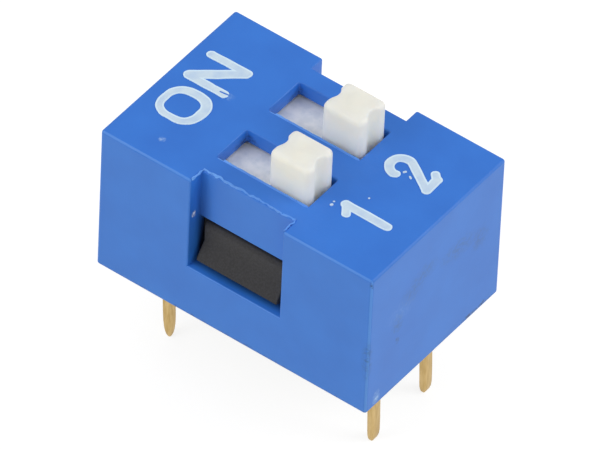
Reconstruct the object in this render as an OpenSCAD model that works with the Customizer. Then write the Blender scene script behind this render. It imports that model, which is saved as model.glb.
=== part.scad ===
// Two-position DIP switch for a printed circuit board, in millimetres.
// X runs along the row from switch 1 to switch 2, and Y from the numbered side
// to the ON side. Z is up, and z = 0 is the face that sits on the board.

/* [Cover] */
// Length of the cover along the row of switches
cover_length = 6.5; // [6.4:0.1:7.5]
// Width of the cover, from the numbered side to the ON side
cover_width = 9.9; // [9.7:0.1:11]
// Height of the cover above the board
cover_height = 5.5; // [5.3:0.1:6.5]
// Radius along the cover's outer edges
cover_edge = 0.1; // [0.04:0.02:0.2]
// Thickness of the roof that the slots are cut through
roof_thickness = 0.53; // [0.4:0.01:0.6]
// Thickness of the two end walls, beside the notches
end_wall = 0.8; // [0.7:0.05:0.85]
// Thickness of the partition between the two sliding plates
partition_width = 0.34; // [0.2:0.02:0.6]
// Depth to which the partition enters the base
partition_depth = 0.6; // [0.3:0.05:0.9]

/* [End notches] */
// Width of the notch down each end wall
notch_width = 3.45; // [3.2:0.05:4.2]
// Depth of each notch, less than the end wall
notch_depth = 0.55; // [0.4:0.01:0.6]
// Height of the sill that closes each notch
sill_height = 1.9; // [1.5:0.05:2.1]
// Height of the window in the back of each notch
window_height = 1.68; // [1.5:0.02:1.9]

/* [Footprint] */
// Distance between neighbouring switches
pitch = 2.54; // [2.5:0.01:2.6]
// Distance between the two rows of pins
row_spacing = 7.62; // [7.5:0.02:7.8]
// Distance from the middle of a row of pins out to the cover's long wall
row_margin = 0.39; // [0.3:0.01:0.5]
// Length of the pins below the board face
pin_length = 3.2; // [2.5:0.1:4]
// Width of each pin along the row
pin_width = 0.3; // [0.25:0.01:0.5]
// Length of the tapered point on each pin
pin_point = 0.8; // [0.4:0.05:0.9]
// Width of the blunt end of that point
pin_tip = 0.2; // [0.14:0.01:0.22]
// Radius at the corners of that end
pin_corner = 0.05; // [0.02:0.01:0.07]
// Outward splay of the front pins, measured at their tips
front_splay = 0.1; // [0:0.02:0.3]
// Bend of switch 1's rear pin away from switch 2, measured at its tip
bent_aside = 0.36; // [0:0.02:0.6]
// Bend of the same pin inward, measured at its tip
bent_inward = 0.38; // [0:0.02:0.6]

/* [Sliders] */
// Distance from OFF to ON
travel = 1.72; // [1.4:0.01:1.8]
// Width of a knob along the row
knob_width = 1.28; // [1:0.02:1.3]
// Length of a knob along its travel
knob_length = 1.46; // [1.3:0.01:1.6]
// Height of a knob above the cover
knob_rise = 1.3; // [0.5:0.05:1.6]
// Radius on a knob's upright and top edges
knob_edge = 0.14; // [0.08:0.02:0.22]
// Width of the finger groove in each pushed face
groove_width = 0.62; // [0.4:0.02:0.7]
// Depth of the finger groove
groove_depth = 0.16; // [0.08:0.02:0.2]
// Thickness of the sliding plate
plate_thickness = 0.55; // [0.4:0.01:0.7]
// Length by which the plate still covers the open end of the slot
plate_lap = 0.2; // [0.1:0.05:0.35]
// Radius at the plate's corners
plate_corner = 0.15; // [0.05:0.05:0.3]
// Width of the carrier block under the plate
carrier_width = 1.2; // [1.1:0.02:1.3]
// Length of the carrier block
carrier_length = 2.4; // [2.1:0.1:2.8]
// Depth of the two cheeks that flank the contact spring
cheek_depth = 0.42; // [0.25:0.01:0.55]
// Diameter of the staking peg that holds the contact spring
peg_diameter = 0.3; // [0.2:0.02:0.34]
// Thickness of the button melted on the end of the peg
button_thickness = 0.08; // [0.05:0.01:0.12]
// Width of the button's rim beyond the peg
button_lap = 0.08; // [0.05:0.01:0.1]

/* [Contact springs] */
// Thickness of the spring strip
spring_thickness = 0.1; // [0.06:0.01:0.14]
// Width of the spring strip
spring_width = 0.7; // [0.55:0.05:0.75]
// Height from the spring's feet to its back
spring_height = 0.9; // [0.8:0.02:1]
// Distance between the two feet
foot_spacing = 1.8; // [1.6:0.05:1.9]
// Length of the flat back
back_length = 0.7; // [0.6:0.02:0.8]
// Radius through the middle of the strip at each foot
foot_radius = 0.25; // [0.2:0.01:0.28]
// Radius through the middle of the strip at each shoulder
shoulder_radius = 0.15; // [0.12:0.01:0.18]
// Angle through which each toe curls up past its lowest point
toe_curl = 50; // [30:5:70]

/* [Base] */
// Height of the channel floor, level with the contact pads
floor_height = 2.5; // [2.3:0.05:2.6]
// Height of the base's underside above the board, filled with epoxy below
seal_height = 0.6; // [0.4:0.05:0.9]
// Depth of the epoxy's face inside the cover's rim
seal_recess = 0.15; // [0.05:0.05:0.3]
// Thickness of the base's walls along the long sides
base_side_wall = 0.3; // [0.2:0.02:0.4]
// Width of the snap barb on each end
barb_width = 2.95; // [2.4:0.05:3.1]
// Distance that the barb's upper face stands out of the base
barb_face = 0.3; // [0.26:0.01:0.4]
// Distance that the barb's lip stands out of the base
barb_reach = 0.64; // [0.5:0.01:0.7]
// Thickness of the barb's lip at its edge
barb_lip = 0.1; // [0.06:0.01:0.16]
// Height of the slope from the barb's upper face out to its lip
barb_slope = 0.6; // [0.4:0.02:0.7]
// Chamfer that leads the cover's wall onto the barb
barb_lead = 0.1; // [0.06:0.01:0.16]

/* [Terminals] */
// Thickness of the terminal strip
terminal_thickness = 0.25; // [0.2:0.01:0.3]
// Width of the contact pads in the channel floor
pad_width = 0.9; // [0.8:0.05:1.1]
// Insulating gap between the two pads of a switch
pad_gap = 0.6; // [0.4:0.05:0.8]
// Inside radius of the bend from pad to pin
bend_radius = 0.1; // [0.06:0.01:0.16]
// Length of narrow strip between a pad and its bend
pad_neck = 0.25; // [0.15:0.05:0.5]

/* [Clearances] */
// Gap around a knob in its slot
knob_gap = 0.06; // [0.04:0.01:0.12]
// Gap above and below a sliding plate
slide_gap = 0.03; // [0.02:0.01:0.05]
// Gap beside a carrier, and between a sliding plate and the partition
guide_gap = 0.05; // [0.03:0.01:0.06]
// Gap between a sliding plate and the end wall beside it
plate_end_gap = 0.13; // [0.05:0.01:0.2]
// Gap between the base and the cover that snaps over it
snap_gap = 0.03; // [0.02:0.01:0.05]
// Gap between a barb and the edges of its window
barb_gap = 0.05; // [0.03:0.01:0.08]
// Gap between a spring's feet and the pads
contact_gap = 0.02; // [0.015:0.005:0.04]
// Gap around a staking peg
peg_gap = 0.02; // [0.01:0.01:0.04]

/* [Hidden] */
$fn = 48;

// Cuts run past the faces that they open by this much
past = 0.5;

// Across the row and along it
cavity_length = cover_length - 2 * end_wall;
cavity_width = row_spacing + 2 * row_margin;
base_length = cavity_length - 2 * snap_gap;
base_width = cavity_width - 2 * snap_gap;
slot_width = knob_width + 2 * knob_gap;
slot_length = knob_length + travel + 2 * knob_gap;
slot_corner = knob_edge / 2;
plate_length = slot_length + travel + 2 * plate_lap;
plate_inner = partition_width / 2 + guide_gap;
plate_outer = cavity_length / 2 - plate_end_gap;
channel_width = carrier_width + 2 * guide_gap;
channel_length = base_width - 2 * base_side_wall;
groove_radius = (pow(groove_width / 2, 2) + pow(groove_depth, 2)) / (2 * groove_depth);

// Heights, from the roof down and from the floor up
roof_under = cover_height - roof_thickness;
plate_top = roof_under - slide_gap;
plate_under = plate_top - plate_thickness;
rail_top = plate_under - slide_gap;
knob_top = cover_height + knob_rise;
spring_foot = floor_height + contact_gap;
spring_back = spring_foot + spring_height;
partition_under = rail_top - partition_depth;
window_top = sill_height + window_height;

// Each foot rests on the front pad at OFF, and one crosses to the rear pad at ON
pad_gap_centre = foot_spacing / 2;

function switch_x(number) = (number - 1.5) * pitch;
function arc(centre, radius, from, to, steps) =
    [for (i = [0:steps]) let (a = from + (to - from) * i / steps)
        centre + radius * [cos(a), sin(a)]];
function reversed(points) = [for (i = [len(points) - 1:-1:0]) points[i]];
function mirrored(points) = [for (p = points) [-p[0], p[1]]];

// Rectangle with true round corners, about its centre
module rounded_rectangle(size, radius) {
    square([size[0] - 2 * radius, size[1]], center = true);
    square([size[0], size[1] - 2 * radius], center = true);
    for (x = [-1, 1], y = [-1, 1])
        translate([x * (size[0] / 2 - radius), y * (size[1] / 2 - radius)]) circle(radius);
}

// Extrusion of a Y-Z outline along X, about x = 0
module extrude_x(width) {
    rotate([90, 0, 90]) linear_extrude(height = width, center = true) children();
}

// Extrusion of an X-Z outline along Y, about y = 0
module extrude_y(length) {
    rotate([90, 0, 0]) linear_extrude(height = length, center = true) children();
}

// Block with all its edges rounded, standing on z = 0
module rounded_block(size, radius) {
    translate([0, 0, size[2] / 2]) intersection() {
        linear_extrude(height = size[2], center = true)
            rounded_rectangle([size[0], size[1]], radius);
        extrude_x(size[0]) rounded_rectangle([size[1], size[2]], radius);
        extrude_y(size[1]) rounded_rectangle([size[0], size[2]], radius);
    }
}

// Box centred on X and Y, between two heights
module slab(length, width, low, high) {
    translate([-length / 2, -width / 2, low]) cube([length, width, high - low]);
}

// ---- Cover: one moulded shell, open below, with slots, end notches and windows ----

module end_notch() {
    translate([cover_length / 2 - notch_depth, -notch_width / 2, sill_height])
        cube([notch_depth + past, notch_width, cover_height - sill_height + past]);
    translate([cavity_length / 2 - past, -notch_width / 2, sill_height])
        cube([end_wall + past, notch_width, window_height]);
}

module cover() {
    color("royalblue") {
        difference() {
            rounded_block([cover_length, cover_width, cover_height], cover_edge);
            slab(cavity_length, cavity_width, -past, roof_under);
            for (number = [1, 2]) translate([switch_x(number), 0, roof_under - past])
                linear_extrude(height = roof_thickness + 2 * past)
                    rounded_rectangle([slot_width, slot_length], slot_corner);
            for (side = [0, 1]) mirror([side, 0, 0]) end_notch();
        }
        slab(partition_width, cavity_width, partition_under, roof_under);
    }
}

// ---- Base: moulded tray with two channels, snap barbs and the set-in terminals ----

module barb() {
    foot = sill_height + barb_gap;
    lip = foot + barb_lip;
    top = window_top - 2 * barb_gap;
    translate([base_length / 2, 0, 0]) extrude_y(barb_width)
        polygon([[-past / 2, foot], [0, foot], [barb_reach, lip], [barb_reach, lip + barb_lip],
            [barb_face, lip + barb_lip + barb_slope], [barb_face, top - barb_lead],
            [barb_face - barb_lead, top], [-past / 2, top]]);
}

module base() {
    color([0.26, 0.26, 0.27]) difference() {
        union() {
            slab(base_length, base_width, seal_height, rail_top);
            for (side = [0, 1]) mirror([0, side, 0])
                translate([-base_length / 2, channel_length / 2, seal_height])
                    cube([base_length, base_side_wall, roof_under - seal_height]);
            for (side = [0, 1]) mirror([side, 0, 0]) barb();
        }
        for (number = [1, 2]) translate([switch_x(number), 0, 0])
            slab(channel_width, channel_length, floor_height, roof_under + past);
        slab(partition_width + 2 * guide_gap, cover_width,
            partition_under - guide_gap, roof_under + past);
        all_terminals();
    }
}

module epoxy_seal() {
    color([0.16, 0.15, 0.15]) difference() {
        slab(cavity_length, cavity_width, seal_recess, seal_height);
        all_terminals();
    }
}

// ---- Terminals: stamped strip, a flat pad inside, bent down into a pointed pin ----

// Below the board face a pin leans over, by this much at its tip
function leaning(points, lean) =
    [for (p = points) [p[0] + lean * max(0, -p[1]) / pin_length, p[1]]];

// Outline of a straight pin below the board face, from its right side round to its left
function pin_outline(middle, width) =
    let (corner = [pin_tip / 2 - pin_corner, pin_corner - pin_length])
    [for (p = concat([[width / 2, 0], [width / 2, pin_point - pin_length]],
            arc(corner, pin_corner, 0, -90, 4),
            arc([-corner[0], corner[1]], pin_corner, -90, -180, 4),
            [[-width / 2, pin_point - pin_length], [-width / 2, 0]]))
        [middle + p[0], p[1]]];

// Edge view of the strip, from the inner end of its pad to the point of its pin
module terminal_edge(pad_start, lean) {
    t = terminal_thickness;
    bend = [row_spacing / 2 - t / 2 - bend_radius, floor_height - t - bend_radius];
    polygon(leaning(concat(
        [[pad_start, floor_height - t], [pad_start, floor_height]],
        arc(bend, bend_radius + t, 90, 0, 6),
        pin_outline(row_spacing / 2, t),
        arc(bend, bend_radius, 0, 90, 6)), lean));
}

// Front view of the pin on its own
module pin_face(lean) {
    polygon(leaning(concat(
        [[-pin_width / 2, floor_height], [pin_width / 2, floor_height]],
        pin_outline(0, pin_width)), lean));
}

// The tip leans by lean[0] along the row and by lean[1] away from the other row
module terminal(pad_start, lean) {
    pad_end = row_spacing / 2 - terminal_thickness / 2 - bend_radius - pad_neck;
    color([0.80, 0.68, 0.42]) intersection() {
        extrude_x(pad_width + 2 * abs(lean[0])) terminal_edge(pad_start, lean[1]);
        union() {
            slab(pad_width, 2 * pad_end, floor_height - terminal_thickness, floor_height);
            extrude_y(2 * row_spacing) pin_face(lean[0]);
        }
    }
}

// The front pad reaches past the switch's centre, and the rear pad stops short of it
module terminal_front(number) {
    translate([switch_x(number), 0, 0]) mirror([0, 1, 0])
        terminal(pad_gap / 2 - pad_gap_centre, [0, front_splay]);
}

module terminal_rear(number) {
    bend = number == 1 ? [-bent_aside, -bent_inward] : [0, 0];
    translate([switch_x(number), 0, 0]) terminal(pad_gap / 2 + pad_gap_centre, bend);
}

module all_terminals() {
    for (number = [1, 2]) {
        terminal_front(number);
        terminal_rear(number);
    }
}

// ---- Contact springs: pressed strip, staked under a slider, with two curled feet ----

// One side of the strip, from the middle of its back to its toe, off its mid-line
function spring_side(offset) =
    let (
        t = spring_thickness,
        reach = (foot_spacing - back_length) / 2,
        bends = shoulder_radius + foot_radius,
        drop = spring_height - t - bends,
        slope = atan2(drop, reach) + asin(bends / norm([reach, drop]))
    )
    concat(
        arc([back_length / 2, spring_back - t / 2 - shoulder_radius],
            shoulder_radius + offset, 90, 90 - slope, 6),
        arc([foot_spacing / 2, spring_foot + t / 2 + foot_radius],
            foot_radius - offset, 270 - slope, 270 + toe_curl, 12));

module contact_spring(number) {
    upper = spring_side(spring_thickness / 2);
    lower = spring_side(-spring_thickness / 2);
    color([0.84, 0.70, 0.38]) translate([switch_x(number), -travel / 2, 0]) difference() {
        extrude_x(spring_width) polygon(concat(
            reversed(mirrored(upper)), upper, reversed(lower), mirrored(lower)));
        translate([0, 0, spring_foot])
            cylinder(h = spring_height + past, d = peg_diameter + 2 * peg_gap);
    }
}

// ---- Sliders: moulded knob, sliding plate and carrier in one piece, stored at OFF ----

module knob() {
    height = knob_top - plate_under;
    translate([0, 0, plate_under]) intersection() {
        linear_extrude(height = height) difference() {
            rounded_rectangle([knob_width, knob_length], knob_edge);
            for (side = [-1, 1])
                translate([0, side * (knob_length / 2 + groove_radius - groove_depth)])
                    circle(groove_radius);
        }
        extrude_x(knob_width) rounded_rectangle([knob_length, 2 * height], knob_edge);
        extrude_y(knob_length) rounded_rectangle([knob_width, 2 * height], knob_edge);
    }
}

module carrier() {
    difference() {
        slab(carrier_width, carrier_length, spring_back - cheek_depth, plate_under);
        slab(spring_width + 2 * guide_gap, carrier_length + past,
            spring_back - cheek_depth - past, spring_back);
    }
    // Peg through the spring's back, with its end melted over into a button
    shank = spring_thickness + button_thickness;
    translate([0, 0, spring_back - shank]) {
        cylinder(h = shank + past, d = peg_diameter);
        cylinder(h = button_thickness, d = peg_diameter + 2 * button_lap);
    }
}

module slider(number) {
    color([0.93, 0.93, 0.90]) translate([switch_x(number), -travel / 2, 0]) {
        knob();
        carrier();
    }
    // The plate fills its bay, from the partition to the end wall
    color([0.93, 0.93, 0.90]) mirror([number == 1 ? 1 : 0, 0, 0])
        translate([(plate_inner + plate_outer) / 2, -travel / 2, plate_under])
            linear_extrude(height = plate_thickness)
                rounded_rectangle([plate_outer - plate_inner, plate_length], plate_corner);
}

cover();
base();
epoxy_seal();
terminal_front(1);  // terminal_1_front
terminal_rear(1);  // terminal_1_rear
terminal_front(2);  // terminal_2_front
terminal_rear(2);  // terminal_2_rear
contact_spring(1);  // contact_spring_1
contact_spring(2);  // contact_spring_2
slider(1);  // slider_1
slider(2);  // slider_2
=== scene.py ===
# Two-position DIP switch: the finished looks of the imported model.
# Pieces are modelled in millimetres and brought down to metres when they are done.
import math

import bmesh
import bpy
from mathutils import Matrix, Vector, noise


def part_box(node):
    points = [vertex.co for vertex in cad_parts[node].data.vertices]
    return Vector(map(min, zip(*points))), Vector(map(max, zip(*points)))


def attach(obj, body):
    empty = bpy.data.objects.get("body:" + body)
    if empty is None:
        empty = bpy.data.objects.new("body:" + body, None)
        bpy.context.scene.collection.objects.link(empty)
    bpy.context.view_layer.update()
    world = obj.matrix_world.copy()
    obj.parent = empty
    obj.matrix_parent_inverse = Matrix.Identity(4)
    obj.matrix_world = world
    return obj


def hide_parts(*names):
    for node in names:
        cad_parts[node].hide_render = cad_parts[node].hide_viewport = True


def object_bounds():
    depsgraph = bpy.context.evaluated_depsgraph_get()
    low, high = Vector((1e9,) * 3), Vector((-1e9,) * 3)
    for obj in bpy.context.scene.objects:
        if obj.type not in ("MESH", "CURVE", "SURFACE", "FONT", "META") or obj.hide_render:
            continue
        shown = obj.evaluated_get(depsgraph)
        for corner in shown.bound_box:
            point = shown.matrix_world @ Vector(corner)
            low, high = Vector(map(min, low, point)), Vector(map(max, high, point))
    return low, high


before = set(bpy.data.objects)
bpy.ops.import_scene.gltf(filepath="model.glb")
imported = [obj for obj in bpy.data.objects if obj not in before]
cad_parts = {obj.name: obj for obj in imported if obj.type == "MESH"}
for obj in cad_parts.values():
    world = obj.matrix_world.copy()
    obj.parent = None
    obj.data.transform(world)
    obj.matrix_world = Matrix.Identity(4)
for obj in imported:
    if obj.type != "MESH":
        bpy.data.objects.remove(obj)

cad_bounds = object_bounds()

# ---- Camera ------------------------------------------------------------------
# A very long lens, so that parallel edges stay nearly parallel. It looks down at 45
# degrees on the corner between switch 1's end and the numbered side.

MM = 0.001

view_azimuth = math.radians(-54.914)
view_elevation = math.radians(45.013)
view_roll = math.radians(2.781)
view_distance = 396.126 * MM
aim = Vector((-0.193, -0.156, 2.431)) * MM
film_width = 36
focal_length = 812.4
nearest_seen = 10 * MM
farthest_seen = 2000 * MM

back = Vector((math.sin(view_azimuth) * math.cos(view_elevation),
               -math.cos(view_azimuth) * math.cos(view_elevation),
               math.sin(view_elevation)))
bpy.ops.object.camera_add(location=aim + back * view_distance)
camera = bpy.context.object
camera.rotation_mode = "QUATERNION"
camera.rotation_quaternion = (-back).to_track_quat("-Z", "Y")
camera.rotation_mode = "XYZ"
camera.rotation_euler.rotate_axis("Z", view_roll)
camera.data.sensor_width = film_width
camera.data.lens = focal_length
camera.data.clip_start = nearest_seen
camera.data.clip_end = farthest_seen
bpy.context.scene.camera = camera

# ---- Floor and light ---------------------------------------------------------
# A white table in a light tent: the tent gives most of the light, with a weak softbox
# on each side of the object. The table shows as plain white, with a faint shadow.


def linear(hex_colour):
    """An sRGB hex colour as linear red, green, blue and alpha."""
    levels = [int(hex_colour[i:i + 2], 16) / 255 for i in (0, 2, 4)]
    return [c / 12.92 if c <= 0.04045 else ((c + 0.055) / 1.055) ** 2.4 for c in levels] + [1]


def add_node(tree, kind, inputs=None, **settings):
    """A new node with its settings. Each input is a value, or another node's output to link."""
    node = tree.nodes.new("ShaderNode" + kind)
    for name, value in settings.items():
        setattr(node, name, value)
    for name, value in (inputs or {}).items():
        if isinstance(value, bpy.types.NodeSocket):
            tree.links.new(value, node.inputs[name])
        else:
            node.inputs[name].default_value = value
    return node


bpy.context.scene.view_settings.view_transform = "Standard"

floor_size = 2000 * MM
table_bounce = linear("D8D4C8")     # what the table gives back to the object
table_shade = 0.35                  # the table's shade of white under the lamps, which
table_glow = 0.78                   # this even glow lifts to plain white
tent_wall = (1.04, 1.00, 0.77, 1)   # the tent's walls are brighter and warmer than its roof
tent_roof = (0.53, 0.54, 0.64, 1)
mirrored_roof = 0.30                # how bright the tent looks in glossy surfaces

floor_height = cad_bounds[0][2]
bpy.ops.object.select_all(action="DESELECT")
bpy.ops.mesh.primitive_plane_add(size=floor_size, location=(0, 0, floor_height))
table = bpy.context.object
table.name = "table"
table_paper = bpy.data.materials.new("white_paper_table")
table_paper.use_nodes = True
tree = table_paper.node_tree
tree.nodes.clear()
path = add_node(tree, "LightPath")
seen = add_node(tree, "Math", {0: path.outputs["Is Camera Ray"], 1: path.outputs["Is Glossy Ray"]},
                operation="MAXIMUM")
seen = add_node(tree, "Math", {0: seen.outputs[0], 1: path.outputs["Is Transmission Ray"]},
                operation="MAXIMUM")
lit = add_node(tree, "BsdfDiffuse", {"Color": table_bounce})
lit_faint = add_node(tree, "BsdfDiffuse", {"Color": [table_shade] * 3 + [1]})
glow = add_node(tree, "Emission", {"Color": (1, 1, 1, 1), "Strength": table_glow})
bright = add_node(tree, "AddShader", {0: lit_faint.outputs[0], 1: glow.outputs[0]})
surface = add_node(tree, "MixShader", {0: seen.outputs[0], 1: lit.outputs[0], 2: bright.outputs[0]})
# From below the table is clear, so that the underside can be looked at
side = add_node(tree, "NewGeometry")
clear = add_node(tree, "BsdfTransparent")
surface = add_node(tree, "MixShader", {0: side.outputs["Backfacing"], 1: surface.outputs[0],
                                       2: clear.outputs[0]})
add_node(tree, "OutputMaterial", {"Surface": surface.outputs[0]})
table.data.materials.append(table_paper)

world = bpy.data.worlds.new("studio")
bpy.context.scene.world = world
world.use_nodes = True
tree = world.node_tree
tree.nodes.clear()
path = add_node(tree, "LightPath")
white = add_node(tree, "Background", {"Color": (1, 1, 1, 1), "Strength": 1.0})
up = add_node(tree, "SeparateXYZ", {0: add_node(tree, "TexCoord").outputs["Generated"]})
tent = add_node(tree, "MixRGB", {"Fac": up.outputs["Z"], "Color1": tent_wall, "Color2": tent_roof})
ambient = add_node(tree, "Background", {"Color": tent.outputs["Color"]})
ceiling = add_node(tree, "Background", {"Color": (1, 1, 1, 1), "Strength": mirrored_roof})
light = add_node(tree, "MixShader", {0: path.outputs["Is Glossy Ray"], 1: ambient.outputs[0],
                                     2: ceiling.outputs[0]})
light = add_node(tree, "MixShader", {0: path.outputs["Is Camera Ray"], 1: light.outputs[0],
                                     2: white.outputs[0]})
add_node(tree, "OutputWorld", {"Surface": light.outputs[0]})

lamp_distance = 140 * MM
lamp_size = 70 * MM


def softbox(name, direction, level):
    """A square lamp that faces the object and lights it to this share of plain white."""
    place = Vector(direction).normalized() * lamp_distance
    bpy.ops.object.light_add(type="AREA", location=place)
    lamp = bpy.context.object
    lamp.name = name
    lamp.data.size = lamp_size
    lamp.data.energy = level * (math.pi * lamp_distance) ** 2
    lamp.rotation_euler = (-place).to_track_quat("-Z", "Y").to_euler()


softbox("softbox_left", (-0.83, 0.56, 0.8), 0.21)
softbox("softbox_right", (0.55, -0.83, 0.7), 0.26)

# ---- Cover -------------------------------------------------------------------
# One shell of blue PBT, moulded open below: a roof with two slots, a notch and a
# window in each end wall, and a partition between the sliding plates. It snaps
# over the base and holds the parts together.


def corners(node):
    """Lowest and highest corner of a CAD node, in millimetres."""
    low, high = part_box(node)
    return [c / MM for c in low], [c / MM for c in high]


def placed(name):
    """The primitive just added, with its place and size in its mesh."""
    bpy.ops.object.transform_apply()
    piece = bpy.context.object
    piece.name = name
    return piece


def block(name, low, high):
    """A block between two corners."""
    bpy.ops.object.select_all(action="DESELECT")
    middle = [(a + b) / 2 for a, b in zip(low, high)]
    size = [b - a for a, b in zip(low, high)]
    bpy.ops.mesh.primitive_cube_add(size=1, location=middle, scale=size)
    return placed(name)


def edit(piece, kind, wanted):
    """Goes into edit mode on a piece, with the wanted faces, edges or vertices selected."""
    if bpy.context.mode != "OBJECT":
        bpy.ops.object.mode_set(mode="OBJECT")
    bpy.ops.object.select_all(action="DESELECT")
    piece.select_set(True)
    bpy.context.view_layer.objects.active = piece
    bpy.ops.object.mode_set(mode="EDIT")
    bpy.ops.mesh.select_mode(type=kind)
    bpy.ops.mesh.select_all(action="DESELECT")
    mesh = bmesh.from_edit_mesh(piece.data)
    for item in {"VERT": mesh.verts, "EDGE": mesh.edges, "FACE": mesh.faces}[kind]:
        if wanted(item):
            item.select_set(True)
    mesh.select_flush_mode()
    bmesh.update_edit_mesh(piece.data)


def leave():
    bpy.ops.object.mode_set(mode="OBJECT")


def middle_of(edge):
    return (edge.verts[0].co + edge.verts[1].co) / 2


def along(edge, axis):
    """Whether an edge runs along X, Y or Z (0, 1 or 2)."""
    run = edge.verts[1].co - edge.verts[0].co
    return abs(run[axis]) > 0.999 * run.length


sharp_turn = math.radians(40)


def sharp(edge):
    """Whether an edge stands out, and its two faces turn by more than that."""
    return len(edge.link_faces) == 2 and edge.is_convex and edge.calc_face_angle() > sharp_turn


def round_edges(piece, wanted, radius, steps):
    edit(piece, "EDGE", wanted)
    bpy.ops.mesh.bevel(offset=radius, segments=steps, affect="EDGES", clamp_overlap=False)
    leave()


def combine(piece, other, operation):
    """Joins a piece with another one, or cuts it by that one, which is used up."""
    bpy.ops.object.select_all(action="DESELECT")
    bpy.context.view_layer.objects.active = piece
    step = piece.modifiers.new("combine", "BOOLEAN")
    step.operation = operation
    step.solver = "EXACT"
    step.object = other
    bpy.ops.object.modifier_apply(modifier=step.name)
    bpy.data.objects.remove(other)


def mark_rims(piece, painted_edge_highlight):
    """Gives each face the attribute rim: the share of painted highlight that the given function finds
    for it.
    """
    rim = piece.data.attributes.new("rim", "FLOAT", "FACE")
    for face in piece.data.polygons:
        rim.data[face.index].value = painted_edge_highlight(face.center, face.normal)


smooth_turn = math.radians(35)


def finish_piece(piece, material):
    """Brings a piece down to metres, smooths its shading and gives it its material."""
    bpy.ops.object.select_all(action="DESELECT")
    piece.select_set(True)
    bpy.context.view_layer.objects.active = piece
    piece.scale = (MM, MM, MM)
    bpy.ops.object.transform_apply()
    bpy.ops.object.shade_smooth_by_angle(angle=smooth_turn)
    step = piece.modifiers.new("even_shading", "WEIGHTED_NORMAL")
    step.keep_sharp = True
    bpy.ops.object.modifier_apply(modifier=step.name)
    piece.data.materials.clear()
    piece.data.materials.append(material)


past = 0.5                  # cuts run past the faces that they open by this much
cover_low, cover_high = corners("cover")
cover_top = cover_high[2]
outer_edge = 0.1            # radius of the shell's own edges
roof = 0.53
roof_under = cover_top - roof
end_wall = 0.8
cavity_x = cover_high[0] - end_wall
cavity_y = 4.2
pitch = 2.54                # between neighbouring switches
slots = ((0.025 - pitch / 2, 0.725), (pitch / 2, 0.75))     # middle and half width of each
slot_ends = (-1.65, 1.66)
slot_corner = 0.07
notch_ends = {-1: (-1.72, 1.65), 1: (-1.725, 1.725)}        # in the left and the right wall
notch_depth = 0.55
notch_x = cover_high[0] - notch_depth
sill = 1.96
window_top = 3.64
partition_half = 0.17
partition_under = 3.76
rim_radius = 0.055          # of the edges that the cuts leave

cover = block("moulded_cover", cover_low, cover_high)
round_edges(cover, lambda edge: True, outer_edge, 4)
combine(cover, block("cutter", (-cavity_x, -cavity_y, -past), (cavity_x, cavity_y, roof_under)),
        "DIFFERENCE")
for middle, half in slots:
    cutter = block("cutter", (middle - half, slot_ends[0], roof_under - past),
                   (middle + half, slot_ends[1], cover_top + past))
    round_edges(cutter, lambda edge: along(edge, 2), slot_corner, 4)
    combine(cover, cutter, "DIFFERENCE")
for side, (start, end) in notch_ends.items():
    near, far = sorted((side * notch_x, side * (cover_high[0] + past)))
    combine(cover, block("cutter", (near, start, sill), (far, end, cover_top + past)), "DIFFERENCE")
    near, far = sorted((side * (cavity_x - past / 2), side * (cover_high[0] + past)))
    combine(cover, block("cutter", (near, start, sill), (far, end, window_top)), "DIFFERENCE")
combine(cover, block("rib", (-partition_half, -cavity_y - past / 2, partition_under),
                     (partition_half, cavity_y + past / 2, roof_under + past / 2)), "UNION")
round_edges(cover, sharp, rim_radius, 3)


lip_reach = 0.1             # how far outside the slots their lips reach
unhighlighted_end = 0.2             # length of each lip's far end that gets no painted highlight
lip_turned = 0.2            # a lip's faces turn at least this far up and to the right
edge_turned = 0.3           # and the walls' edges this far, each way
top_highlight = 0.3              # how strong the painted highlight is on the walls' top edges, and on their corners
corner_highlight = 0.45


def painted_edge_highlight(place, normal):
    """How much painted highlight a face gets: on the slots' near lips, and on the end walls' top and
    corner edges.
    """
    if abs(place.y) < slot_ends[1] + lip_reach and abs(place.x) < sum(slots[1]) + lip_reach:
        highlighted = place.y < slot_ends[1] - unhighlighted_end
        return highlighted and normal.x > lip_turned and normal.z > lip_turned
    if abs(place.x) < notch_x + 0.1 or abs(normal.x) < edge_turned:
        return 0
    if normal.z > edge_turned:
        return top_highlight
    on_corner = abs(normal.y) >= edge_turned and abs(place.y) > cover_high[1] - 0.2
    return corner_highlight * on_corner


mark_rims(cover, painted_edge_highlight)


flash_end = 0.2             # edges shorter than this are the flash's ends, and stay whole
flash_cuts = 50             # in each of the others
fine_waves = 9              # of the noise in a millimetre
coarse_waves = 2.5
brightest_from = 0.9             # beyond this place along Y the flash's painted highlight is strongest
flash_highlight = 0.7
# Noise is seeded, so that the flash and the ink come out the same each time
noise.seed_set(2)


def ragged_edge(name, parts, fine, coarse):
    """Thin flash along an edge: blocks joined, cut up and pushed about by noise."""
    piece = block(name, *parts[0])
    for low, high in parts[1:]:
        combine(piece, block("part", low, high), "UNION")
    edit(piece, "EDGE", lambda edge: edge.calc_length() > flash_end)
    bpy.ops.mesh.subdivide(number_cuts=flash_cuts)
    leave()
    for v in piece.data.vertices:
        ripple = fine * noise.noise_vector(v.co * fine_waves)
        v.co += ripple + coarse * noise.noise_vector(v.co * coarse_waves)
    # The flash's paler colour is a painted highlight
    mark_rims(piece, lambda place, normal: 1 if place.y > brightest_from else flash_highlight)
    return piece
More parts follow.
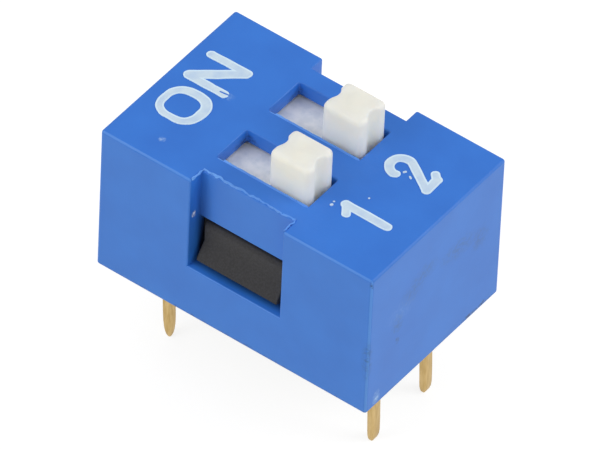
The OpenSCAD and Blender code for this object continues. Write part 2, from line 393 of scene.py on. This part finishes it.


# A worn tool left flash along the notch's upper edges, paler by a painted highlight, and a thin strip
# along each slot's near lip is a painted highlight
edge_low, edge_high = cover_top - 0.04, cover_top + 0.025
flash_near, flash_far = 0.03 - notch_x, 0.08 - notch_x
flash_start = 0.08 - cover_high[0]
start, end = notch_ends[-1]
flash_parts = [((flash_near, start, edge_low), (flash_far, end, edge_high))]
for low, high in ((end - 0.03, end + 0.01), (start - 0.01, start + 0.03)):
    flash_parts.append(((flash_start, low, edge_low), (flash_far, high, edge_high)))
flash = [ragged_edge("notch_flash", flash_parts, 0.045, 0.03)]
for middle, half in slots:
    lip = ((middle - half - 0.035, slot_ends[0], cover_top - 0.06),
           (middle - half + 0.02, slot_ends[1] - 0.26, cover_top + 0.006))
    flash.append(ragged_edge(f"slot_lip_{len(flash)}", [lip], 0.012, 0.01))

# Dyed PBT, moulded on a fine spark-eroded tool: satin, a slight grain in the gloss and
# a painted highlight on the rounded edges that the rim attribute marks
dyed_pbt = bpy.data.materials.new("dyed_pbt_satin_moulded")
dyed_pbt.use_nodes = True
tree = dyed_pbt.node_tree
shader = tree.nodes["Principled BSDF"]
place = add_node(tree, "TexCoord").outputs["Object"]
grain = add_node(tree, "TexNoise", {"Vector": place, "Scale": 1 / (0.08 * MM), "Detail": 3.0})
cloud = add_node(tree, "TexNoise", {"Vector": place, "Scale": 1 / (1.5 * MM), "Detail": 4.0})
tint = add_node(tree, "ValToRGB", {"Fac": cloud.outputs["Fac"]})
tint.color_ramp.elements[0].position = 0.3
tint.color_ramp.elements[0].color = linear("2E75D8")
tint.color_ramp.elements[1].position = 0.7
tint.color_ramp.elements[1].color = linear("327CE0")
# The rim attribute mixes a painted highlight into the rounded edges
rim = add_node(tree, "Attribute", attribute_name="rim")
wear_and_painted_light = add_node(tree, "MixRGB", {"Fac": rim.outputs["Fac"], "Color1": tint.outputs["Color"],
                                 "Color2": linear("6AA8FC")})
# Marks of handling and dirt, and some painted shade: where each one is and how far it reaches in mm,
# its colour and strength
marks = (
    ((-1.83, -4.95, 2.02), (0.1, 0.3, 0.11), "20417A", 1.0),        # a pit of dirt
    ((-1.85, -4.95, 2.7), (0.3, 0.3, 0.4), "3A64A6", 0.5),          # smears
    ((-1.2, -4.95, 3.45), (0.5, 0.3, 0.4), "3A64A6", 0.4),
    ((-0.6, -4.95, 3.8), (0.6, 0.3, 0.35), "3A64A6", 0.4),
    ((1.1, -4.95, 3.5), (0.9, 0.3, 0.4), "3A64A6", 0.45),
    ((2.15, -4.95, 3.1), (0.4, 0.3, 0.45), "3A64A6", 0.45),
    ((-1.7, -4.95, 3.1), (0.7, 0.3, 0.4), "6C9EEA", 0.25),           # scuffs
    ((-2.75, -4.95, 0.35), (0.16, 0.3, 0.25), "9CC2F4", 0.9),
    ((2.1, -4.95, 0.12), (0.65, 0.5, 0.09), "16233F", 1.0),         # a dark patch along the lower edge
    # painted shade on the lower edges' roundings, which face down
    ((0, -4.95, 0.06), (3.6, 0.5, 0.07), "3A5C9C", 0.7),
    ((-3.25, 0, 0.06), (0.5, 5.5, 0.07), "2D5AA8", 0.7),
    ((-3.25, -4.95, 2.2), (0.2, 0.25, 0.8), "24528F", 0.5),         # grime on the near corner
    ((-3.22, -4.9, 5.3), (0.08, 0.08, 0.1), "1C3F86", 0.9),
    ((-0.54, 1.66, 5.02), (0.6, 0.4, 0.3), "1A3870", 1.0),          # painted shade in the slots' far corners
    ((-1.8, 1.66, 4.95), (0.5, 0.2, 0.25), "1A3870", 0.8),
    ((2.0, 1.66, 5.02), (0.5, 0.3, 0.28), "1A3870", 0.8),
    ((-2.42, 3.36, 5.5), (0.12, 0.12, 0.2), "A8CAF6", 0.9),         # rubbed spots on the roof
    ((0.22, 2.84, 5.5), (0.16, 0.14, 0.2), "7FAAEA", 0.7),
    ((-3.04, 1.655, 3.96), (0.1, 0.1, 0.1), "F4F8FF", 2.0),         # a bright chip in the notch
)
raggedness = 0.3            # how far the marks' edges wander in all, in mm
ragged = add_node(tree, "TexNoise", {"Vector": place, "Scale": 1 / (0.25 * MM), "Detail": 3.0})
shift = add_node(tree, "VectorMath", {0: ragged.outputs["Color"], "Scale": raggedness},
                 operation="SCALE")
fleck = add_node(tree, "TexNoise", {"Vector": place, "Scale": 1 / (0.1 * MM), "Detail": 3.0})
speckle = add_node(tree, "MapRange", {"Value": fleck.outputs["Fac"], "From Min": 0.45,
                                      "From Max": 0.6, "To Min": 0.25})
in_mm = add_node(tree, "VectorMath", {0: place, "Scale": 1 / MM}, operation="SCALE")
at = add_node(tree, "VectorMath", {0: in_mm.outputs["Vector"], 1: shift.outputs["Vector"]})


def near_to(centre, reach, where, strength):
    """A node that fades from a strength to nothing with the distance from a centre."""
    gap = add_node(tree, "VectorMath", {0: where.outputs["Vector"], 1: centre}, operation="SUBTRACT")
    gap = add_node(tree, "VectorMath", {0: gap.outputs["Vector"], 1: reach}, operation="DIVIDE")
    gap = add_node(tree, "VectorMath", {0: gap.outputs["Vector"]}, operation="LENGTH")
    return add_node(tree, "MapRange", {"Value": gap.outputs["Value"], "From Min": 1.2,
                                       "From Max": 0.3, "To Max": strength})


for centre, reach, colour, strength in marks:
    inside = near_to([c + raggedness / 2 for c in centre], reach, at, strength)
    inside = add_node(tree, "Math", {0: inside.outputs[0], 1: speckle.outputs[0]},
                      operation="MULTIPLY")
    wear_and_painted_light = add_node(tree, "MixRGB", {"Fac": inside.outputs[0], "Color1": wear_and_painted_light.outputs["Color"],
                                     "Color2": linear(colour)})
# Painted shade in the notch, smooth and even: beside the barb, under it and in the corner
for centre, reach, colour, strength in (((-2.58, 1.65, 2.6), (0.2, 0.2, 1.5), "0A1226", 0.95),
                                        ((-2.7, 0, sill), (0.36, 4, 0.3), "0C1C3C", 0.75),
                                        ((-2.7, 1.6, 3.7), (0.22, 0.35, 1.5), "1E4C9A", 0.6)):
    inside = near_to(centre, reach, in_mm, strength)
    wear_and_painted_light = add_node(tree, "MixRGB", {"Fac": inside.outputs[0], "Color1": wear_and_painted_light.outputs["Color"],
                                     "Color2": linear(colour)})
bump = add_node(tree, "Bump", {"Height": grain.outputs["Fac"], "Strength": 0.25,
                               "Distance": 0.01 * MM})
tree.links.new(wear_and_painted_light.outputs["Color"], shader.inputs["Base Color"])
tree.links.new(bump.outputs["Normal"], shader.inputs["Normal"])
shader.inputs["Roughness"].default_value = 0.42
shader.inputs["IOR"].default_value = 1.5

finish_piece(cover, dyed_pbt)
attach(cover, "housing")
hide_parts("cover")
for piece in flash:
    finish_piece(piece, dyed_pbt)
    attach(piece, "housing")

# ---- Lettering ---------------------------------------------------------------
# White epoxy ink, printed on the roof: ON beside the slots' far ends and the switch
# numbers beside the near ends. The ink stands a little proud and thins in its middle.

ink_height = 0.02
ink_low = cover_top - 0.01
ink_high = cover_top + ink_height
ink_rim = 0.05          # width of the proud rim
ink_hollow = 0.4        # share of its height that the ink loses inside the rim
ink_wander = 0.02       # how far the ink's edge wanders
wander_waves = 4        # of that in a millimetre
straight_from = 0.15    # straight runs longer than this are cut up, so that they can wander
straight_cuts = 5
screen_slack = 0.025    # how much a slack screen slanted the O


def pen_stroke(name, start, end, width):
    """A flat stroke with round ends: a disc whose far half is moved to the other end."""
    bpy.ops.object.select_all(action="DESELECT")
    bpy.ops.mesh.primitive_cylinder_add(vertices=32, radius=width / 2, depth=ink_high - ink_low,
                                        location=(*start, (ink_low + ink_high) / 2))
    piece = placed(name)
    run = Vector((end[0] - start[0], end[1] - start[1], 0))
    edit(piece, "VERT", lambda v: (v.co.xy - Vector(start)).dot(run.xy) > -1e-4)
    bpy.ops.transform.translate(value=run)
    leave()
    return piece


def curved_stroke(name, centre, radius, start, end, width):
    """A flat stroke along an arc, with square ends: its cross-section spun about the centre."""
    bpy.ops.object.select_all(action="DESELECT")
    bpy.ops.mesh.primitive_plane_add(size=1, rotation=(math.pi / 2, 0, 0))
    piece = placed(name)
    pivot = (*centre, (ink_low + ink_high) / 2)
    edit(piece, "FACE", lambda face: True)
    bpy.ops.transform.resize(value=(width, 1, ink_high - ink_low), center_override=(0, 0, 0))
    bpy.ops.transform.translate(value=(pivot[0] + radius, pivot[1], pivot[2]))
    bpy.ops.transform.rotate(value=-math.radians(start), orient_axis="Z", center_override=pivot)
    # With no window, spin turns clockwise for a positive angle
    bpy.ops.mesh.spin(steps=24, angle=math.radians(start - end), center=pivot, axis=(0, 0, 1))
    bpy.ops.mesh.select_all(action="SELECT")
    bpy.ops.mesh.normals_make_consistent(inside=False)
    leave()
    return piece


def rounded_ring(name, centre, half, corner, width, slip):
    """A closed ring with rounded corners, such as the letter O. Its hole slips a little."""
    piece = block(name, (centre[0] - half[0], centre[1] - half[1], ink_low),
                  (centre[0] + half[0], centre[1] + half[1], ink_high))
    round_edges(piece, lambda edge: along(edge, 2), corner, 12)
    edit(piece, "FACE", lambda face: abs(face.normal.z) > 0.9)
    bpy.ops.mesh.inset(thickness=width)
    bpy.ops.transform.translate(value=(*slip, 0))
    bpy.ops.mesh.bridge_edge_loops()
    leave()
    return piece


def finish_letter(letter, others=()):
    """Joins a letter's strokes, and sinks the middle of the ink inside a proud rim."""
    for other in others:
        combine(letter, other, "UNION")
    edit(letter, "FACE", lambda face: True)
    bpy.ops.mesh.dissolve_limited(angle_limit=math.radians(1))
    edit(letter, "EDGE", lambda edge: not along(edge, 2) and edge.calc_length() > straight_from)
    bpy.ops.mesh.subdivide(number_cuts=straight_cuts)
    leave()
    for v in letter.data.vertices:
        v.co.xy += ink_wander * noise.noise_vector(Vector((v.co.x, v.co.y, 0)) * wander_waves).xy
    edit(letter, "FACE", lambda face: face.normal.z > 0.9)
    bpy.ops.mesh.inset(thickness=ink_rim, depth=-ink_hollow * ink_height)
    leave()
    # The rim's faces get the painted highlight of the ink's material
    rim = letter.data.attributes.new("rim", "FLOAT", "FACE")
    floor = min(v.co.z for v in letter.data.vertices) + 0.9 * (ink_high - ink_low)
    for face in letter.data.polygons:
        rim.data[face.index].value = face.normal.z < 0.999 or face.center.z > floor


o_centre = Vector((-0.91, 3.68))
letter_o = rounded_ring("letter_O", o_centre, (0.745, 0.785), 0.64, 0.295, (-0.03, 0.035))
for v in letter_o.data.vertices:
    v.co.xy -= screen_slack * (v.co.xy - o_centre).yx
finish_letter(letter_o)

letter_n = pen_stroke("letter_N", (0.19, 3.06), (0.19, 4.37), 0.31)
finish_letter(letter_n, [pen_stroke("slant", (0.24, 4.31), (1.25, 3.07), 0.36),
                         pen_stroke("stem", (1.31, 3.03), (1.29, 4.35), 0.30)])
# The print missed a sliver at the foot of the first stem
combine(letter_n, pen_stroke("missed", (0.26, 2.82), (0.22, 3.20), 0.06), "DIFFERENCE")

number_1 = pen_stroke("number_1", (-1.19, -2.45), (-1.19, -3.93), 0.32)
finish_letter(number_1, [pen_stroke("flag", (-1.20, -2.48), (-1.51, -2.69), 0.28)])

bowl_centre, bowl_radius, pen_width = (1.055, -2.78), 0.36, 0.31
number_2 = curved_stroke("number_2", bowl_centre, bowl_radius, -20, 180, pen_width)
finish_letter(number_2, [
    pen_stroke("start", (bowl_centre[0] - bowl_radius, bowl_centre[1]),
               (bowl_centre[0] - bowl_radius + 0.03, bowl_centre[1] - 0.05), 0.28),
    pen_stroke("slant", (1.385, -2.93), (0.74, -3.92), 0.30),
    pen_stroke("foot", (0.73, -3.93), (1.28, -3.92), 0.31),
    pen_stroke("tail", (1.28, -3.90), (1.41, -3.75), 0.29)])

# Epoxy screen ink: a dull white that lets a little blue through, with a painted highlight on its proud
# rim
screen_ink = bpy.data.materials.new("epoxy_screen_ink")
screen_ink.use_nodes = True
tree = screen_ink.node_tree
shader = tree.nodes["Principled BSDF"]
place = add_node(tree, "TexCoord").outputs["Object"]
rim = add_node(tree, "Attribute", attribute_name="rim")
patch = add_node(tree, "TexNoise", {"Vector": place, "Scale": 1 / (0.35 * MM), "Detail": 3.0})
thin = add_node(tree, "ValToRGB", {"Fac": patch.outputs["Fac"]})
thin.color_ramp.elements[0].position = 0.35
thin.color_ramp.elements[0].color = linear("C1D8F2")
thin.color_ramp.elements[1].position = 0.65
thin.color_ramp.elements[1].color = linear("D2E5F4")
ink = add_node(tree, "MixRGB", {"Fac": rim.outputs["Fac"], "Color1": thin.outputs["Color"],
                                "Color2": linear("D8EFFF")})
tree.links.new(ink.outputs["Color"], shader.inputs["Base Color"])
shader.inputs["Roughness"].default_value = 0.5

# Specks of the same ink that splashed beside the letters
specks = [pen_stroke("ink_specks", (-1.48, -2.13), (-1.46, -2.14), 0.09)]
for start, end, width in (((-0.58, -2.82), (-0.57, -2.83), 0.05), ((0.88, -3.22), (0.84, -3.28), 0.06),
                          ((-1.33, -2.10), (-1.31, -2.12), 0.04), ((0.92, -2.97), (0.97, -3.0), 0.07)):
    specks.append(pen_stroke("speck", start, end, width))
bpy.ops.object.select_all(action="DESELECT")
for speck in specks:
    speck.select_set(True)
bpy.context.view_layer.objects.active = specks[0]
bpy.ops.object.join()

for letter in (letter_o, letter_n, number_1, number_2, specks[0]):
    finish_piece(letter, screen_ink)
    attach(letter, "housing")

# ---- Sliders -----------------------------------------------------------------
# Each is one white acetal moulding: a finger knob with a groove in both pushed faces,
# on a plate that slides under the roof, over a carrier that the spring is staked to.

knob_half = (0.64, 0.73)
knob_radius = 0.18
knob_grain = 0.025          # size of the even mesh that softens the knob
knob_rounds = 8             # of softening
groove_radius = 0.38
groove_depth = 0.16
plate_top = 4.88
plate_under = 4.39
plate_corner = 0.15
plate_edge = 0.04
carrier_half = (0.6, 1.2)
carrier_low = 3.0
carrier_edge = 0.05
spring_back = 3.42
spring_gap_half = 0.4
spring_strip = 0.1              # the spring's thickness
peg_radius = 0.15
button_radius = 0.23
button_height = 0.08
button_edge = 0.03
thickening_heights = (4.95, 5.2)      # between these the plastic gets thick enough to scatter light inside, and the plate's colour gives way to the brighter colour painted on the knob's sides
side_fill_heights = (6.0, 6.7)    # between these the painted brightening of the knob's sides gives way to its own tint

natural_acetal = bpy.data.materials.new("natural_acetal_moulded")
natural_acetal.use_nodes = True
tree = natural_acetal.node_tree
shader = tree.nodes["Principled BSDF"]
place = add_node(tree, "TexCoord").outputs["Object"]
cloud = add_node(tree, "TexNoise", {"Vector": place, "Scale": 1 / (0.5 * MM), "Detail": 3.0})
tint = add_node(tree, "ValToRGB", {"Fac": cloud.outputs["Fac"]})
tint.color_ramp.elements[0].position = 0.35
tint.color_ramp.elements[0].color = linear("E6E5DD")
tint.color_ramp.elements[1].position = 0.65
tint.color_ramp.elements[1].color = linear("EBEAE1")
# The plate's patchy colour is painted brighter and bluer, a painted bounce of light from the cover's
# walls; the plate is too thin to scatter light inside
plate_patches = add_node(tree, "TexNoise", {"Vector": place, "Scale": 1 / (0.3 * MM), "Detail": 2.0})
plate_patches_and_bounce = add_node(tree, "ValToRGB", {"Fac": plate_patches.outputs["Fac"]})
plate_patches_and_bounce.color_ramp.elements[0].position = 0.4
plate_patches_and_bounce.color_ramp.elements[0].color = linear("E9EEF1")
plate_patches_and_bounce.color_ramp.elements[1].position = 0.6
plate_patches_and_bounce.color_ramp.elements[1].color = linear("FAFCFC")
height = add_node(tree, "SeparateXYZ", {0: place})
thick = add_node(tree, "MapRange", {"Value": height.outputs["Z"], "From Min": thickening_heights[0] * MM,
                                    "From Max": thickening_heights[1] * MM, "To Min": 0.1})
plate_and_side_fill = add_node(tree, "MixRGB", {"Fac": thick.outputs[0], "Color1": plate_patches_and_bounce.outputs["Color"],
                                  "Color2": linear("FAF7EC")})
# Painted light: toward its top the knob turns from its brighter painted sides to its own tint
toward_top = add_node(tree, "MapRange", {"Value": height.outputs["Z"],
                                      "From Min": side_fill_heights[0] * MM,
                                      "From Max": side_fill_heights[1] * MM})
skin = add_node(tree, "MixRGB", {"Fac": toward_top.outputs[0], "Color1": plate_and_side_fill.outputs["Color"],
                                 "Color2": tint.outputs["Color"]})
tree.links.new(skin.outputs["Color"], shader.inputs["Base Color"])
tree.links.new(thick.outputs[0], shader.inputs["Subsurface Weight"])
shader.inputs["Roughness"].default_value = 0.4
shader.inputs["IOR"].default_value = 1.48
shader.inputs["Subsurface Radius"].default_value = (1.0, 0.9, 0.8)
shader.inputs["Subsurface Scale"].default_value = 1.2 * MM


def pillar(name, centre, radius, low, high):
    bpy.ops.object.select_all(action="DESELECT")
    bpy.ops.mesh.primitive_cylinder_add(vertices=48, radius=radius, depth=high - low,
                                        location=(*centre, (low + high) / 2))
    return placed(name)


def make_slider(number):
    node = f"slider_{number}"
    low, high = corners(node)
    middle = (number - 1.5) * pitch
    stored = (low[1] + high[1]) / 2
    top = high[2]
    knob = block(f"slide_{number}", (middle - knob_half[0], stored - knob_half[1], plate_under + 0.1),
                 (middle + knob_half[0], stored + knob_half[1], top))
    round_edges(knob, lambda edge: middle_of(edge).z > plate_under + 0.2, knob_radius, 5)
    for side in (-1, 1):
        offset = knob_half[1] + groove_radius - groove_depth
        combine(knob, pillar("groove", (middle, stored + side * offset), groove_radius,
                             plate_under - past, top + past), "DIFFERENCE")
    step = knob.modifiers.new("even_mesh", "REMESH")
    step.mode = "VOXEL"
    step.voxel_size = knob_grain
    bpy.context.view_layer.objects.active = knob
    bpy.ops.object.modifier_apply(modifier=step.name)
    step = knob.modifiers.new("soften", "SMOOTH")
    step.factor = 0.5
    step.iterations = knob_rounds
    bpy.ops.object.modifier_apply(modifier=step.name)
    plate = block("plate", (low[0], low[1], plate_under), (high[0], high[1], plate_top))
    round_edges(plate, lambda edge: along(edge, 2), plate_corner, 4)
    round_edges(plate, lambda edge: sharp(edge) and middle_of(edge).z > plate_under + 0.1,
                plate_edge, 2)
    combine(knob, plate, "UNION")
    carrier = block("carrier", (middle - carrier_half[0], stored - carrier_half[1], carrier_low),
                    (middle + carrier_half[0], stored + carrier_half[1], plate_under + 0.05))
    combine(carrier, block("spring_room", (middle - spring_gap_half, stored - 2, carrier_low - past),
                           (middle + spring_gap_half, stored + 2, spring_back)), "DIFFERENCE")
    round_edges(carrier, lambda edge: sharp(edge) and middle_of(edge).z < plate_under - 0.05,
                carrier_edge, 2)
    combine(knob, carrier, "UNION")
    # A peg through the spring's back, with its end melted over into a button
    button_low = spring_back - spring_strip - button_height
    button = pillar("button", (middle, stored), button_radius, button_low, button_low + button_height)
    round_edges(button, sharp, button_edge, 3)
    combine(button, pillar("peg", (middle, stored), peg_radius, button_low + button_height / 2,
                           spring_back + past / 2), "UNION")
    combine(knob, button, "UNION")
    return knob


for number in (1, 2):
    slide = make_slider(number)
    finish_piece(slide, natural_acetal)
    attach(slide, f"switch_{number}")
    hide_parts(f"slider_{number}")

# ---- Base --------------------------------------------------------------------
# A tray of black glass-filled PBT, moulded round the terminals, with a channel under
# each slider. A barb on each end springs out through the cover's window and holds it.

barb_start = 2.43       # the barbs stand beyond this place along X, at both ends
barb_edge = 0.05
lip_start = 2.9         # and their lips beyond this one
lip_raised = 0.12


def merged_copy(node, name):
    """A copy of a CAD node in millimetres, with its loose triangles merged into walls."""
    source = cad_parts[node]
    piece = bpy.data.objects.new(name, source.data.copy())
    bpy.context.scene.collection.objects.link(piece)
    piece.data.transform(source.matrix_world)
    piece.data.transform(Matrix.Scale(1 / MM, 4))
    edit(piece, "FACE", lambda face: True)
    bpy.ops.mesh.remove_doubles(threshold=0.001)
    bpy.ops.mesh.dissolve_limited(angle_limit=math.radians(1))
    leave()
    return piece


base = merged_copy("base", "moulded_base")
# The barbs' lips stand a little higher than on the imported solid
edit(base, "VERT", lambda v: abs(v.co.x) > lip_start)
bpy.ops.transform.translate(value=(0, 0, lip_raised))
leave()
round_edges(base, lambda edge: sharp(edge) and abs(middle_of(edge).x) > barb_start, barb_edge, 3)

# Glass-filled PBT: charcoal rather than black, dull, with fibres that roughen the skin
glass_filled = bpy.data.materials.new("black_glass_filled_pbt")
glass_filled.use_nodes = True
tree = glass_filled.node_tree
shader = tree.nodes["Principled BSDF"]
place = add_node(tree, "TexCoord").outputs["Object"]
fibre = add_node(tree, "TexNoise", {"Vector": place, "Scale": 1 / (0.06 * MM), "Detail": 2.0})
tint = add_node(tree, "ValToRGB", {"Fac": fibre.outputs["Fac"]})
tint.color_ramp.elements[0].position = 0.35
tint.color_ramp.elements[0].color = linear("333336")
tint.color_ramp.elements[1].position = 0.65
tint.color_ramp.elements[1].color = linear("3C3C41")
bump = add_node(tree, "Bump", {"Height": fibre.outputs["Fac"], "Strength": 0.3,
                               "Distance": 0.01 * MM})
tree.links.new(tint.outputs["Color"], shader.inputs["Base Color"])
tree.links.new(bump.outputs["Normal"], shader.inputs["Normal"])
shader.inputs["Roughness"].default_value = 0.6
shader.inputs["Specular IOR Level"].default_value = 0.3

finish_piece(base, glass_filled)
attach(base, "housing")
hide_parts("base")

# ---- Epoxy seal --------------------------------------------------------------
# Black potting epoxy, poured over the base's underside with the switch upside down. It
# keeps solder out, and it creeps a little up the cover's walls and the pins.

seal_low, seal_high = corners("epoxy_seal")
row_y = 3.81                # distance of each row of pins from the middle
pin_reach = 0.15            # from a pin's middle to its sides
creep_height = 0.08
creep_reach = 0.14
ripple_share = 0.06
grid_step = 0.06

bpy.ops.object.select_all(action="DESELECT")
seal_size = [high - low for low, high in zip(seal_low, seal_high)]
bpy.ops.mesh.primitive_grid_add(x_subdivisions=round(seal_size[0] / grid_step),
                                y_subdivisions=round(seal_size[1] / grid_step), size=1,
                                location=(0, 0, seal_low[2]))
bpy.context.object.scale = (*seal_size[:2], 1)
seal = placed("epoxy_fill")
for v in seal.data.vertices:
    to_wall = min(seal_high[0] - abs(v.co.x), seal_high[1] - abs(v.co.y))
    to_pin = math.hypot(abs(v.co.x) - pitch / 2, abs(v.co.y) - row_y) - pin_reach
    creep = math.exp(-to_wall / creep_reach) + math.exp(-max(0, to_pin) / creep_reach)
    ripple = ripple_share * math.sin(1.7 * v.co.x + 0.9) * math.sin(1.1 * v.co.y)
    v.co.z -= creep_height * min(1, creep + ripple)
depth = seal.modifiers.new("depth", "SOLIDIFY")
depth.thickness = seal_size[2]
depth.offset = 1
bpy.ops.object.modifier_apply(modifier=depth.name)

potting_epoxy = bpy.data.materials.new("black_potting_epoxy")
potting_epoxy.use_nodes = True
tree = potting_epoxy.node_tree
shader = tree.nodes["Principled BSDF"]
place = add_node(tree, "TexCoord").outputs["Object"]
cloud = add_node(tree, "TexNoise", {"Vector": place, "Scale": 1 / (1.2 * MM), "Detail": 2.0})
tint = add_node(tree, "ValToRGB", {"Fac": cloud.outputs["Fac"]})
tint.color_ramp.elements[0].color = linear("1C1B1B")
tint.color_ramp.elements[1].color = linear("2C2A29")
tree.links.new(tint.outputs["Color"], shader.inputs["Base Color"])
shader.inputs["Roughness"].default_value = 0.22
shader.inputs["IOR"].default_value = 1.55

finish_piece(seal, potting_epoxy)
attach(seal, "housing")
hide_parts("epoxy_seal")

# ---- Terminals ---------------------------------------------------------------
# Brass strip, stamped and gold flashed, moulded into the base: a flat pad in the channel
# floor, a narrow neck, a tight bend and a pin with a blunt coined point.

strip = 0.25
pad_half = 0.45
pad_top = 2.5
pad_starts = {"front": -0.6, "rear": 1.2}
pin_width = 0.34
bend_inside = 0.1
neck = 0.25
shoulder = 0.05
pin_low = cad_bounds[0][2] / MM
pin_edge = 0.03
point_length = 0.8
# How far each pin leans at its tip, along the row and away from the other row
leans = {(1, "front"): (-0.01, 0.115), (2, "front"): (0, 0.125),
         (1, "rear"): (-0.39, -0.49), (2, "rear"): (0, 0)}


def pull(move, scale=(1, 1, 1), centre=(0, 0, 0)):
    """Extrudes the selected face by a move, and resizes the new one about a centre."""
    bpy.ops.mesh.extrude_region_move(TRANSFORM_OT_translate={"value": move})
    bpy.ops.transform.resize(value=scale, center_override=centre)


def make_terminal(number, row):
    middle = (number - 1.5) * pitch
    bend_y = row_y - strip / 2 - bend_inside
    bend_z = pad_top - strip - bend_inside
    terminal = block(f"strip_{number}_{row}", (middle - pad_half, pad_starts[row], pad_top - strip),
                     (middle + pad_half, bend_y - neck, pad_top))
    edit(terminal, "FACE", lambda face: face.normal.y > 0.9)
    pull((0, shoulder, 0), (pin_width / (2 * pad_half), 1, 1), (middle, bend_y - neck + shoulder, 0))
    pull((0, neck - shoulder, 0))
    bpy.ops.mesh.spin(steps=6, angle=math.pi / 2, center=(middle, bend_y, bend_z), axis=(1, 0, 0))
    edit(terminal, "FACE", lambda face: face.normal.z < -0.9
         and face.calc_center_median().y > row_y - 0.01)
    pull((0, 0, -bend_z))
    pull((0, 0, pin_low + point_length))
    # The point is drawn down in steps: the drop of each, and how much it narrows
    if row == "front":
        # Coined to a blunt end, a little nearer to one corner of the pin
        side, steps = -0.25, ((0.45, 0.98), (0.18, 0.93), (0.11, 0.84), (0.06, 0.76))
    else:
        # A rounder point, nearly the same from all sides
        side, steps = -0.1, ((0.25, 0.98), (0.2, 0.93), (0.17, 0.86), (0.12, 0.76), (0.06, 0.68))
    kept = (middle + side * pin_width, row_y + side * strip, 0)
    for drop, narrow in steps:
        pull((0, 0, -drop), (narrow, narrow, 1), kept)
    bpy.ops.mesh.select_all(action="SELECT")
    bpy.ops.mesh.normals_make_consistent(inside=False)
    leave()
    round_edges(terminal, lambda edge: sharp(edge) and middle_of(edge).z < bend_z
                and middle_of(edge).z > pin_low + 0.01, pin_edge, 2)
    lean = leans[number, row]
    for v in terminal.data.vertices:
        share = max(0, v.co.z / pin_low)
        v.co.x += lean[0] * share
        v.co.y += lean[1] * share
    if row == "front":
        edit(terminal, "FACE", lambda face: True)
        bpy.ops.transform.resize(value=(1, -1, 1), center_override=(0, 0, 0))
        bpy.ops.mesh.normals_make_consistent(inside=False)
        leave()
    return terminal


# Gold flash over brass: a tan, satin metal, a little browner in fine streaks
gold_flash = bpy.data.materials.new("gold_flashed_brass")
gold_flash.use_nodes = True
tree = gold_flash.node_tree
shader = tree.nodes["Principled BSDF"]
place = add_node(tree, "TexCoord").outputs["Object"]
drawn = add_node(tree, "Mapping", {"Vector": place, "Scale": (6, 6, 1)})
streak = add_node(tree, "TexNoise", {"Vector": drawn.outputs["Vector"], "Scale": 1 / (0.6 * MM),
                                     "Detail": 4.0})
tint = add_node(tree, "ValToRGB", {"Fac": streak.outputs["Fac"]})
tint.color_ramp.elements[0].position = 0.35
tint.color_ramp.elements[0].color = linear("C0A269")
tint.color_ramp.elements[1].position = 0.65
tint.color_ramp.elements[1].color = linear("D2B67F")
bump = add_node(tree, "Bump", {"Height": streak.outputs["Fac"], "Strength": 0.15,
                               "Distance": 0.01 * MM})
tree.links.new(tint.outputs["Color"], shader.inputs["Base Color"])
tree.links.new(bump.outputs["Normal"], shader.inputs["Normal"])
shader.inputs["Metallic"].default_value = 1.0
shader.inputs["Roughness"].default_value = 0.4

for number in (1, 2):
    for row in ("front", "rear"):
        terminal = make_terminal(number, row)
        finish_piece(terminal, gold_flash)
        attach(terminal, "housing")
        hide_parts(f"terminal_{number}_{row}")

# ---- Contact springs ---------------------------------------------------------
# Beryllium copper strip, pressed to a bridge with two curled feet and gold plated. A
# peg under each slider is melted over through its back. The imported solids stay.

for number in (1, 2):
    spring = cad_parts[f"contact_spring_{number}"]
    spring.data.materials.clear()
    spring.data.materials.append(gold_flash)
